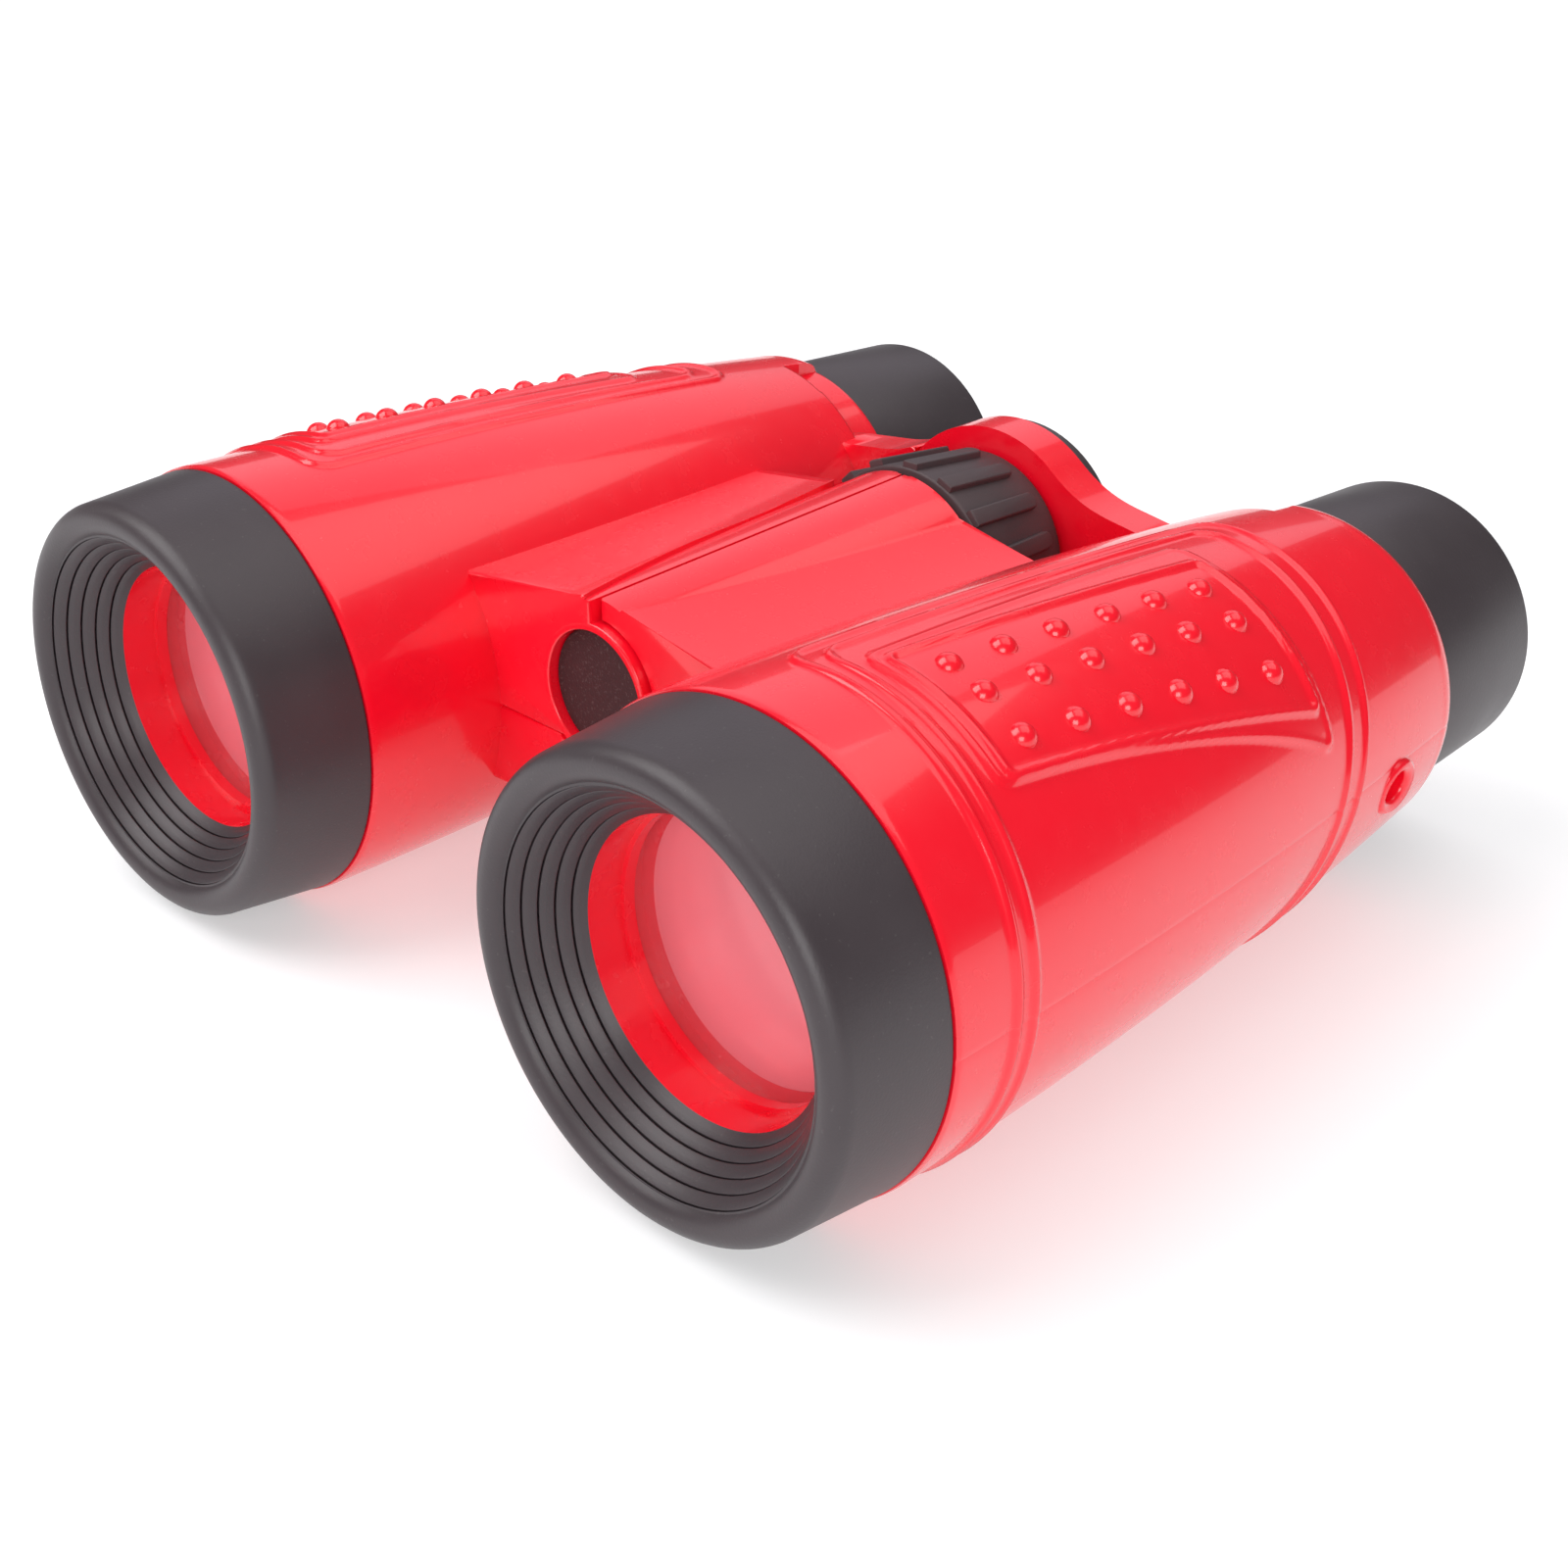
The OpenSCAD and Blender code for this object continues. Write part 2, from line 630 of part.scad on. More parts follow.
// Upper shell of the left half, with the front rim, two hinge knuckles and the inner sleeve
module left_upper_shell() {
    color(red) placed() difference() {
        union() {
            intersection() { left_casing(); parted(true); }
            mirror([1, 0, 0]) {
                knuckle(left_y0 + wall, front_knuckle_end);
                knuckle(rear_knuckle_y, bridge_y1);
                hinge_rim();
            }
            hinge_sleeve();
        }
        on_hinge(left_y0 - 1, bridge_y1 + 1, bolt_r + fit, bolt_r + fit);
        on_hinge(left_y0 - 1, head_y, plug_r + fit, plug_r + fit);
        on_hinge(left_y0 - 1, head_y + bolt_head_h + fit, bolt_head_r + fit, bolt_head_r + fit);
    }
}

// Round rim in front of the hinge, with a bar that ties it to the bridge's front wall
module hinge_rim() {
    on_hinge(left_y0, rim_end_y, rim_r, rim_r);
    intersection() {
        on_hinge(left_y0, left_y0 + wall, tube_r0 - tube_wall / 2, tube_r0 - tube_wall / 2);
        translate([seam_gap / 2, left_y0, eps]) cube([far, wall, far]);
    }
}

module left_lower_shell() { color(red) placed() intersection() { left_casing(); parted(false); } }
module right_lower_shell() { color(red) placed() intersection() { right_casing(); parted(false); } }

// Black ring with a rounded lip and a ribbed mouth, pressed over the casing's spigot
module objective_ring(side) {
    lip_y = lip_h - ring_len;
    mouth_y = lip_y - lip_h / 2;
    run = [aperture_r - mouth_r, aperture_y - mouth_y];
    normal = [run[1], -run[0]] / norm(run);
    color(black) placed() on_side(side) on_barrel() revolve(concat(
        [[spigot_r + fit, aperture_y], [spigot_r + fit, 0], [ring_rear_r, 0]],
        [for (t = [0 : 15 : 150])
            [ring_front_r - lip_w / 2 + lip_w / 2 * cos(t), lip_y - lip_h * sin(t)]],
        [for (i = [0 : mouth_grooves - 1], edge = [0, 0.25, 0.75])
            let (share = (i + edge) / mouth_grooves)
            [mouth_r, mouth_y] + run * share + normal * (edge == 0 ? groove_depth : 0)],
        [[aperture_r, aperture_y]]
    ));
}

// Clear objective lens, domed in front, held in the casing's groove
module objective_lens(side) {
    y = lens_y + fit;
    color(clear) placed() on_side(side) on_barrel() revolve(concat(
        lens_face(flange_r, y, -objective_dome),
        [[objective_lens_r, y], [objective_lens_r, y + objective_lens_t], [0, y + objective_lens_t]]
    ));
}

// Black cup that the eye rests against, with its spigot in the casing and a pocket for the eye lens
module eyepiece_cup(side) {
    pocket_r = eye_lens_r + fit;
    color(black) placed() on_side(side) on_barrel() revolve(concat(
        [[eye_spigot_r, socket_y + fit], [eye_spigot_r, casing_len], [eyecup_front_r, casing_len]],
        [for (t = [0 : 15 : 90])
            [eyecup_rear_r - eyecup_lip + eyecup_lip * cos(t), cup_end_y - eyecup_lip + eyecup_lip * sin(t)]],
        [[eyecup_mouth_r, cup_end_y], [eyecup_floor_r, cup_floor_y], [eye_hole_r, cup_floor_y],
         [eye_hole_r, eye_lens_y1], [pocket_r, eye_lens_y1], [pocket_r, eye_lens_y0 - flange_t],
         [pocket_r + wall, eye_lens_y0 - flange_t], [pocket_r + wall, cup_floor_y - 2 * flange_t],
         [eye_spigot_r - wall, cup_floor_y - 2 * flange_t], [eye_spigot_r - wall, socket_y + fit]]
    ));
}

// Small clear eye lens, hollow on both faces
module eye_lens(side) {
    color(clear) placed() on_side(side) on_barrel() revolve(concat(
        lens_face(eye_hole_r, eye_lens_y0, eye_lens_dish),
        [[eye_lens_r, eye_lens_y0], [eye_lens_r, eye_lens_y1]],
        [for (i = [8 : -1 : 0]) lens_face(eye_hole_r, eye_lens_y1, -eye_lens_dish)[i]]
    ));
}

// Ring pressed in behind the eye lens to hold it in its pocket
module lens_retainer(side) {
    color(black) placed() on_side(side) on_barrel() revolve([
        [eye_hole_r, eye_lens_y0 - flange_t], [eye_lens_r, eye_lens_y0 - flange_t],
        [eye_lens_r, eye_lens_y0], [eye_hole_r, eye_lens_y0]
    ]);
}

// Screws that draw a lower shell up to its upper shell
module shell_screws(side) {
    slot_w = 0.5;
    color(steel) placed() on_side(side) for (y = screw_y)
        translate([screw_x, y, wall / 2 - web_drop]) difference() {
            union() {
                cylinder(r = screw_head_r, h = screw_head_h);
                cylinder(r = screw_r, h = screw_head_h + screw_len);
            }
            for (turn = [0, 90]) rotate([0, 0, turn])
                translate([-screw_r, -slot_w / 2, -eps]) cube([2 * screw_r, slot_w, screw_head_h / 2]);
        }
}

// Long bolt that the two halves and the wheel turn on
module hinge_bolt() {
    color(steel) placed() {
        on_hinge(head_y, head_y + bolt_head_h, bolt_head_r, bolt_head_r);
        on_hinge(head_y + bolt_head_h, bolt_end_y, bolt_r, bolt_r);
    }
}

// Washer between the rear arch and the nut
module hinge_washer() {
    color(steel) placed() difference() {
        on_hinge(washer_y, nut_y, washer_r, washer_r);
        on_hinge(washer_y - 1, nut_y + 1, bolt_r + fit, bolt_r + fit);
    }
}

// Six-sided nut at the rear end of the hinge bolt
module hinge_nut() {
    color(steel) placed() difference() {
        translate([0, nut_y, hinge_z]) along_y() cylinder(h = nut_h, r = nut_r, $fn = 6);
        on_hinge(nut_y - 1, nut_y + nut_h + 1, bolt_r + fit, bolt_r + fit);
    }
}

// Round black plug that hides the bolt's head
module front_hinge_plug() {
    color(black) placed() on_hinge(plug_y, head_y, plug_r, plug_r);
}

// Black cap behind the rear arch, with a spigot around the nut
module rear_hinge_cap() {
    edge = cap_t / 3;
    color(black) placed() translate([0, arch_end_y, hinge_z]) revolve([
        [0, cap_floor], [cap_bore_r, cap_floor], [cap_bore_r, nut_y - arch_end_y],
        [cap_spigot_r, nut_y - arch_end_y], [cap_spigot_r, 0], [cap_r, 0], [cap_r, cap_t - edge],
        [cap_r - edge, cap_t], [0, cap_t]
    ]);
}

// Ribbed focus wheel on the hinge bolt
module focus_wheel() {
    dish = wheel_w / 4;
    hub_r = knuckle_r;
    rim_t = 3;
    taper = wheel_taper / wheel_w;
    color(black) placed() translate([0, wheel_y, hinge_z]) difference() {
        union() {
            revolve([
                [0, 0], [hub_r, 0], [hub_r, dish], [wheel_front_r - rim_t, dish], [wheel_front_r - rim_t, 0],
                [wheel_front_r, 0], [wheel_rear_r, wheel_w], [0, wheel_w]
            ]);
            for (i = [0 : wheel_ribs - 1]) rotate([0, i * 360 / wheel_ribs, 0]) intersection() {
                revolve([[wheel_rear_r - rim_t, 0], [wheel_front_r + rib_h, 0],
                         [wheel_front_r + rib_h - taper * rib_len, rib_len],
                         [wheel_rear_r - rim_t, rib_len]]);
                union() {
                    translate([-rib_w / 2, 0, 0]) cube([rib_w, rib_len - rib_w / 2, far]);
                    translate([0, rib_len - rib_w / 2, 0]) cylinder(r = rib_w / 2, h = far);
                }
            }
        }
        along_y() translate([0, 0, -1]) cylinder(r = bolt_r + fit, h = wheel_w + 2);
    }
}

module left_objective_ring() { objective_ring(-1); }
module right_objective_ring() { objective_ring(1); }
module left_objective_lens() { objective_lens(-1); }
module right_objective_lens() { objective_lens(1); }
module left_eyepiece_cup() { eyepiece_cup(-1); }
module right_eyepiece_cup() { eyepiece_cup(1); }
module left_eye_lens() { eye_lens(-1); }
module right_eye_lens() { eye_lens(1); }
module left_lens_retainer() { lens_retainer(-1); }
module right_lens_retainer() { lens_retainer(1); }
module left_shell_screws() { shell_screws(-1); }
module right_shell_screws() { shell_screws(1); }

left_upper_shell();
left_lower_shell();
left_objective_ring();
left_objective_lens();
left_eyepiece_cup();
left_eye_lens();
left_lens_retainer();
left_shell_screws();
right_upper_shell();
right_lower_shell();
right_objective_ring();
right_objective_lens();
right_eyepiece_cup();
right_eye_lens();
right_lens_retainer();
right_shell_screws();
hinge_bolt();
hinge_washer();
hinge_nut();
front_hinge_plug();
rear_hinge_cap();
focus_wheel();
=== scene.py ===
from math import acos, asin, cos, degrees, hypot, pi, radians, sin, sqrt, tan
import bmesh
import bpy
from mathutils import Matrix, Vector


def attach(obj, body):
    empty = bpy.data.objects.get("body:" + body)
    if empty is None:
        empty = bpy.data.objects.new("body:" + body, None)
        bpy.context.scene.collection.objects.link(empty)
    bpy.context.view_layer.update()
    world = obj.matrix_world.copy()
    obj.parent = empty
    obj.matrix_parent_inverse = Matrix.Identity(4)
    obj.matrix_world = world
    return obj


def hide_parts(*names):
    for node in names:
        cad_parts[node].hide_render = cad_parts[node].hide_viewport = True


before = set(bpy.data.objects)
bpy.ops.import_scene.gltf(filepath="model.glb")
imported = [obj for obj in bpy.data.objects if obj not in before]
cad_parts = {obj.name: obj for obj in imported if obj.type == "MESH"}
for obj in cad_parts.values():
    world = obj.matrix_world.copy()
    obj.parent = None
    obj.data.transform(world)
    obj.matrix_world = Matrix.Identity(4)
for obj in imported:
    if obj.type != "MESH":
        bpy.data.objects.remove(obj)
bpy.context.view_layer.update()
print("frame loaded")

# Drawn in millimetres from the rear edge of the rings and the height of the barrel axis
drawnFrom = {"y": 46.95, "z": 23.25}
toFrame = Matrix.Scale(0.001, 4) @ Matrix.Translation((0, -drawnFrom["y"], drawnFrom["z"]))
barrel = {
    "x": 37.75, "r": 23.25, "bulge": 770, "length": 85.2, "roundFrom": 82.2, "step": 1.75,
    "wall": 1.6, "sink": 0.8,  # sink is how far other parts run into the wall
    "upperSteps": 224, "lowerSteps": 150, "rows": 270,
}
hinge = {
    "z": 6, "front": 17.2, "rear": 61.6, "r0": 10, "r1": 12.2, "wall": 1.4, "seam": 0.2,
    "bore": 2.05, "knuckleR": 6.5,
}
plate = {"z": 15.9, "slope": tan(radians(7.8))}


# Shader maths on sockets
class Sock:
    def __init__(self, tree, socket):
        self.tree = tree
        self.socket = socket

    def maths(self, operation, first, second=0.0):
        node = self.tree.nodes.new("ShaderNodeMath")
        node.operation = operation
        for place, value in enumerate((first, second)):
            if isinstance(value, Sock):
                self.tree.links.new(value.socket, node.inputs[place])
            else:
                node.inputs[place].default_value = value
        return Sock(self.tree, node.outputs[0])

    def __add__(self, other):
        return self.maths("ADD", self, other)

    def __radd__(self, other):
        return self.maths("ADD", other, self)

    def __sub__(self, other):
        return self.maths("SUBTRACT", self, other)

    def __rsub__(self, other):
        return self.maths("SUBTRACT", other, self)

    def __mul__(self, other):
        return self.maths("MULTIPLY", self, other)

    def __rmul__(self, other):
        return self.maths("MULTIPLY", other, self)

    def __truediv__(self, other):
        return self.maths("DIVIDE", self, other)

    def __rtruediv__(self, other):
        return self.maths("DIVIDE", other, self)

    def __pow__(self, other):
        return self.maths("POWER", self, other)

    def over(self, level):
        return self.maths("GREATER_THAN", self, level)


# A material and its node tree
class Look:
    def __init__(self, name):
        self.material = bpy.data.materials.new(name)
        self.material.use_nodes = True
        self.tree = self.material.node_tree
        self.tree.nodes.clear()
        self.shader = self.tree.nodes.new("ShaderNodeBsdfPrincipled")
        out = self.tree.nodes.new("ShaderNodeOutputMaterial")
        self.tree.links.new(self.shader.outputs[0], out.inputs["Surface"])
        self.place = self.node("ShaderNodeTexCoord", out="Object")

    def node(self, kind, settings=None, out=0, **values):
        node = self.tree.nodes.new(kind)
        for key, value in (settings or {}).items():
            setattr(node, key, value)
        for key, value in values.items():
            self.feed(node.inputs[key.replace("_", " ")], value)
        return Sock(self.tree, node.outputs[out])

    def feed(self, socket, value):
        if isinstance(value, Sock):
            self.tree.links.new(value.socket, socket)
        else:
            socket.default_value = value

    def noise(self, scale, detail=2.0):
        return self.node("ShaderNodeTexNoise", Vector=self.place, Scale=scale, Detail=detail)

    def mix(self, share, first, second):
        node = self.tree.nodes.new("ShaderNodeMix")
        node.data_type = "RGBA"
        node.clamp_factor = True
        for place, value in ((0, share), (6, first), (7, second)):
            self.feed(node.inputs[place], value)
        return Sock(self.tree, node.outputs[2])

    def bump(self, height, strength, distance):
        return self.node("ShaderNodeBump", Height=height, Strength=strength, Distance=distance)

    def paint(self, **values):
        for key, value in values.items():
            self.feed(self.shader.inputs[key.replace("_", " ")], value)
        return self.material


# Glossy red moulding, a little cloudy
redLook = Look("redPlastic")
redCloud = redLook.noise(70, 3)
redScuff = redLook.noise(420, 4)
redSpeck = redLook.noise(2600, 2)
redPlastic = redLook.paint(
    Base_Color=redLook.mix(redCloud, (0.90, 0.004, 0.022, 1), (0.80, 0.002, 0.014, 1)),
    Roughness=0.20 + redScuff * 0.12,
    Coat_Weight=0.45 + redCloud * 0.25,
    Normal=redLook.bump(redCloud * 0.6 + redSpeck * 0.02, 0.12, 0.0004),
    Coat_Roughness=0.06,
    Specular_IOR_Level=0.5,
)

# Satin black of the rings and eyepieces
blackLook = Look("blackPlastic")
blackCloud = blackLook.noise(110, 4)
blackGrain = blackLook.noise(3800, 2)
blackDust = blackLook.noise(2300, 1).over(0.74)
blackPlastic = blackLook.paint(
    Base_Color=blackLook.mix(
        blackDust * 0.2,
        blackLook.mix(blackCloud, (0.036, 0.027, 0.031, 1), (0.058, 0.045, 0.050, 1)),
        (0.13, 0.12, 0.115, 1),
    ),
    Roughness=0.34 + blackCloud * 0.16,
    Normal=blackLook.bump(blackGrain, 0.10, 0.0002),
)

# Rubbery black of the wheel
wheelLook = Look("wheelPlastic")
wheelCloud = wheelLook.noise(160, 4)
wheelGrain = wheelLook.noise(3000, 2)
wheelPlastic = wheelLook.paint(
    Base_Color=wheelLook.mix(wheelCloud, (0.048, 0.031, 0.034, 1), (0.068, 0.044, 0.048, 1)),
    Roughness=0.46 + wheelCloud * 0.14,
    Normal=wheelLook.bump(wheelGrain, 0.14, 0.0002),
)

# Matt speckled plug
plugLook = Look("plugPlastic")
plugCloud = plugLook.noise(300, 3)
plugSpeck = plugLook.noise(4200, 1)
plugPlastic = plugLook.paint(
    Base_Color=plugLook.mix(
        plugSpeck.over(0.66) * 0.35,
        plugLook.mix(plugCloud, (0.028, 0.004, 0.006, 1), (0.046, 0.008, 0.010, 1)),
        (0.15, 0.10, 0.10, 1),
    ),
    Roughness=0.62 + plugCloud * 0.15,
    Normal=plugLook.bump(plugSpeck, 0.35, 0.0003),
)

# Pale clear plastic of the lenses
lensLook = Look("clearLens")
lensCloud = lensLook.noise(130, 3)
lensX, lensY, lensZ = (
    lensLook.node("ShaderNodeSeparateXYZ", out=axis, Vector=lensLook.place) for axis in "XYZ"
)
lensSide = lensX.maths("ABSOLUTE", lensX) - barrel["x"] * 0.001
lensRise = lensZ - drawnFrom["z"] * 0.001
lensOut = lensSide ** 2 + lensRise * lensRise
lensHaze = {"behind": -0.0461, "within": 0.0136}
lensBack = lensY.over(lensHaze["behind"]) * (1 - lensOut.over(lensHaze["within"] ** 2))  # hazy rear face
clearLens = lensLook.paint(
    Base_Color=lensLook.mix(lensCloud, (0.98, 0.25, 0.30, 1), (0.94, 0.22, 0.26, 1)),
    Roughness=0.10 + lensCloud * 0.06,
    Alpha=0.14 + lensBack * (0.70 + lensCloud * 0.10),
    Specular_IOR_Level=0.6,
)

# Plated steel of the fasteners
steelLook = Look("steel")
steelCloud = steelLook.noise(500, 3)
steel = steelLook.paint(
    Base_Color=steelLook.mix(steelCloud, (0.56, 0.56, 0.57, 1), (0.44, 0.44, 0.46, 1)),
    Roughness=0.24 + steelCloud * 0.16,
    Metallic=1.0,
)
print("materials ready")


# Drawing helpers
def casingR(y):
    y = min(max(y, 0), barrel["length"])
    r = barrel["r"] - (barrel["bulge"] - sqrt(barrel["bulge"] ** 2 - min(y, barrel["roundFrom"]) ** 2))
    if y > barrel["roundFrom"]:
        share = (y - barrel["roundFrom"]) / (barrel["length"] - barrel["roundFrom"])
        r -= barrel["step"] * (1 - sqrt(max(0, 1 - share * share)))
    return r


def tubeR(y):
    share = (y - hinge["front"]) / (hinge["rear"] - hinge["front"])
    return hinge["r0"] + (hinge["r1"] - hinge["r0"]) * share


def plateZ(x):
    return plate["z"] - x * plate["slope"]


def span(a, b, count):
    return [a + (b - a) * i / count for i in range(count + 1)]


def arc(cx, cz, r, a0, a1, count):
    return [(cx + r * cos(radians(a)), cz + r * sin(radians(a))) for a in span(a0, a1, count)]


def smooth(low, high, value):
    share = min(max((value - low) / (high - low), 0), 1)
    return share * share * (3 - 2 * share)


def ridge(distance, half):
    return 0.5 + 0.5 * cos(pi * distance / half) if abs(distance) < half else 0


def turned(bm, points, steps=96, angle=2 * pi, down=False, closed=True):  # radius, place, rounding
    verts = [bm.verts.new((p[0], p[1], 0)) for p in points]
    pairs = list(zip(verts, verts[1:])) + ([(verts[-1], verts[0])] if closed else [])
    for pair in pairs:
        bm.edges.new(pair)
    ours = set(verts)
    for vert, p in zip(verts, points):
        if len(p) > 2:
            made = bmesh.ops.bevel(
                bm, geom=[vert], offset=p[2], segments=4, profile=0.5, affect="VERTICES"
            )
            ours.discard(vert)
            ours.update(made["verts"])
    ours = [v for v in bm.verts if v in ours]  # in the mesh's own order
    edges = [e for e in bm.edges if e.verts[0] in ours and e.verts[1] in ours]
    bmesh.ops.spin(
        bm, geom=ours + edges, cent=(0, 0, 0), axis=(0, 1 if down else -1, 0),
        angle=angle, steps=steps, use_merge=angle > 6,
    )
    bmesh.ops.remove_doubles(bm, verts=bm.verts, dist=0.0005)


def rounded(bm, edges, width, segments):
    bmesh.ops.bevel(
        bm, geom=edges, offset=width, segments=segments, profile=0.5, affect="EDGES", material=-1
    )


def loft(bm, sections):  # sections: place, outline in x and z
    place, ring = sections[0]
    verts = [bm.verts.new((x, place, z)) for x, z in ring]
    edges = [bm.edges.new(pair) for pair in zip(verts, verts[1:] + verts[:1])]
    caps = [verts]
    for place, ring in sections[1:]:
        made = bmesh.ops.extrude_edge_only(bm, edges=edges)["geom"]
        fresh = {g for g in made if isinstance(g, bmesh.types.BMVert)}
        edges = [g for g in made if isinstance(g, bmesh.types.BMEdge) and fresh.issuperset(g.verts)]
        verts = [
            next(e.other_vert(v) for e in v.link_edges if e.other_vert(v) in fresh) for v in verts
        ]
        for vert, (x, z) in zip(verts, ring):
            vert.co = (x, place, z)
    for cap in caps + [verts]:
        bm.faces.new(cap)


def join(bm, other, move=None):  # adds a finished part to a piece
    if move is not None:
        bmesh.ops.transform(other, matrix=move, verts=other.verts)
    mesh = bpy.data.meshes.new("part")
    other.to_mesh(mesh)
    other.free()
    bm.from_mesh(mesh)
    bpy.data.meshes.remove(mesh)


def onSkin(point):  # on the outside of a barrel
    y = point.y * 1000 + drawnFrom["y"]
    out = hypot(abs(point.x) * 1000 - barrel["x"], point.z * 1000 - drawnFrom["z"])
    return 0.5 < y < 81.9 and -0.6 < out - casingR(y) < 1.5


def finishPiece(bm, name, body, nodes, material, flip=False, sharp=32, skin=False):
    bmesh.ops.remove_doubles(bm, verts=bm.verts, dist=0.0005)
    mirror = Matrix.Diagonal((-1 if flip else 1, 1, 1, 1))
    bmesh.ops.transform(bm, matrix=toFrame @ mirror, verts=bm.verts)
    bmesh.ops.recalc_face_normals(bm, faces=bm.faces)
    mesh = bpy.data.meshes.new(name)
    bm.to_mesh(mesh)
    bm.free()
    mesh.materials.append(material)
    for face in mesh.polygons:
        face.use_smooth = True
    mesh.set_sharp_from_angle(angle=radians(sharp))
    for edge in mesh.edges if skin else ():
        ends = [mesh.vertices[v].co for v in edge.vertices]
        seam = all(abs(end.z * 1000 - drawnFrom["z"]) < 0.01 for end in ends)
        if edge.use_edge_sharp and not seam and all(onSkin(end) for end in ends):
            edge.use_edge_sharp = False
    piece = bpy.data.objects.new(name, mesh)
    bpy.context.collection.objects.link(piece)
    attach(piece, body)
    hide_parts(*nodes)


# Raised work on the outside of a barrel, angle 0 at the outer side and 90 on top
frameLine = {
    "height": 0.42, "half": 0.66, "corner": 2.6, "top": 4.7, "drift": 1.3, "driftFrom": 9, "driftOver": 55,
    "front": 7.3, "frontLean": 1.2, "rear": 62.6, "rearLean": 0.287, "second": (1.9, 2.2, 3.4),
    "floor": 0.10, "floorEdge": 0.4, "fade": (radians(-62), radians(-50)),
}
panel = {
    "lift": 0.28, "soft": 0.35, "corner": 1.8, "top": 0.4, "front": 12.4, "rear": 57.6,
    "low": 16.1, "flare": 3.8, "flareFrom": 13.5, "flareOver": 41.5, "bend": 1.25,
    "edge": 0.16, "edgeHalf": 0.6,
}
rail = {
    "height": 0.42, "half": 0.7, "corner": 0.9, "from": 13, "over": 43, "top": (1.9, 2.1), "low": (15.4, 3.0),
    "front": 13.9, "rear": 56.2,
}
stud = {
    "r": 1.4, "sink": 0.45, "places": (18.2, 24.9, 31.7, 38.6, 45.2, 52.0),
    "rows": ((5.4, 7.3), (9.3, 11.5), (13.7, 16.0)),
}
seamLine = {"depth": 0.055, "from": 0.02, "to": 0.3}
frontEdge = {"depth": 0.14, "over": 0.45}
notch = {"y": 79.4, "from": 97, "to": 198, "r": 17.33}
lensSeat = {
    "spigot": 20.4, "front": -5.3, "aperture": 14.15, "flange": 13.65, "flangeAt": -1.5, "lensAt": -0.3,
    "lensR": 15.25, "lensEnd": 2.0, "ribEnd": 3.2, "ribR": 21.64,
}
eyeSocket = {"r": 15.4, "floor": 78.15, "stopR": 13.75, "stop": 76.55}


def inset(p, q, corner):
    if p < corner and q < corner:
        return corner - hypot(corner - p, corner - q)
    return min(p, q)


def around(r, dx):  # way round the barrel from its top to a distance out from its axis
    return r * asin(min(0.999, dx / r))


def frameRelief(r, y, angle):  # two lines round the grip
    s = r * (pi / 2 - angle)
    fade = smooth(*frameLine["fade"], angle)
    if s <= -9 or not 5 < y < 71 or fade <= 0:
        return 0
    top, front, rear = frameLine["second"]
    a = s + frameLine["top"] - frameLine["drift"] * (y - frameLine["driftFrom"]) / frameLine["driftOver"]
    f = y - frameLine["front"] - frameLine["frontLean"] * sin(angle)
    b = frameLine["rear"] + frameLine["rearLean"] * r * sin(angle) - y
    outer = inset(a, min(f, b), frameLine["corner"])
    inner = inset(a - top, min(f - front, b - rear), frameLine["corner"])
    lines = ridge(outer, frameLine["half"]) + ridge(inner, frameLine["half"])
    floor = frameLine["floor"] * smooth(-frameLine["floorEdge"], frameLine["floorEdge"], outer)
    return (frameLine["height"] * lines + floor) * fade


def panelRelief(r, y, angle):  # raised panel with a rail inside its edge
    s = r * (pi / 2 - angle)
    if not 11 < y < 59 or not -1 < s < 30:
        return 0
    flare = max(0, y - panel["flareFrom"]) / panel["flareOver"]
    low = panel["low"] + panel["flare"] * flare ** panel["bend"]
    deep = inset(
        min(s - panel["top"], around(r, low) - s), min(y - panel["front"], panel["rear"] - y), panel["corner"]
    )
    share = (y - rail["from"]) / rail["over"]
    top, low = (start + growth * share for start, growth in (rail["top"], rail["low"]))
    line = inset(min(s - top, around(r, low) - s), min(y - rail["front"], rail["rear"] - y), rail["corner"])
    return (
        panel["lift"] * smooth(-panel["soft"], panel["soft"], deep)
        + panel["edge"] * ridge(deep - panel["soft"], panel["edgeHalf"])
        + rail["height"] * ridge(line, rail["half"])
    )


def casingInside():  # from the eyepiece end to the lens seat and the spigot
    wall, seat, socket = barrel["wall"], lensSeat, eyeSocket
    return [
        (socket["r"], barrel["length"]), (socket["r"], socket["floor"]), (socket["stopR"], socket["floor"]),
        (socket["stopR"], socket["stop"]), (casingR(socket["stop"]) - wall, 76.5), (casingR(40) - wall, 40),
        (seat["ribR"], seat["ribEnd"]), (seat["flange"], seat["ribEnd"]), (seat["flange"], seat["lensEnd"]),
        (seat["lensR"], seat["lensEnd"]), (seat["lensR"], seat["lensAt"]), (seat["flange"], seat["lensAt"]),
        (seat["flange"], seat["flangeAt"]), (seat["aperture"], seat["flangeAt"]),
        (seat["aperture"], seat["front"]), (seat["spigot"], seat["front"]), (seat["spigot"], 0),
    ]


